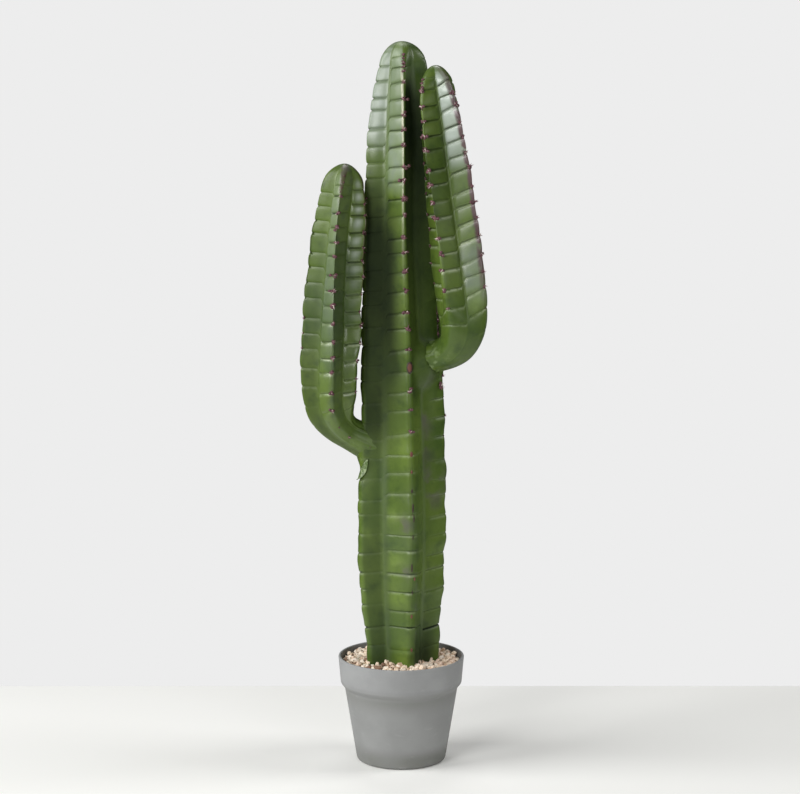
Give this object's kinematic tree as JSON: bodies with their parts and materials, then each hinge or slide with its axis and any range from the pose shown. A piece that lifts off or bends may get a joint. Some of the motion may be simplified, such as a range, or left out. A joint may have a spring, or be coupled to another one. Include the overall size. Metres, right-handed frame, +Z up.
{
  "type": "artificial finger cactus in a pot",
  "caption": "Artificial columnar cactus: a tall ribbed trunk with upturned finger arms, bedded in beige gravel in a grey collar pot that stands on its flat underside.",
  "frame": {"origin": "centre of the pot's flat underside", "axes": "+Z up along the trunk, -Y towards the front, +X to the right as seen from the front"},
  "size_m": [0.2261, 0.158, 0.9],
  "materials": {
    "skin": "semi-gloss green moulded plastic",
    "spines": "mauve-brown moulded tufts",
    "gravel": "loose beige chips",
    "pot": "matte grey moulded plastic"
  },
  "bodies": {
    "root": {"pot": "pot", "gravel_fill": "gravel", "trunk": "skin", "left_arm_elbow": "skin", "left_arm_finger": "skin", "right_arm_elbow": "skin", "right_arm_finger": "skin"}
  },
  "joints": []
}
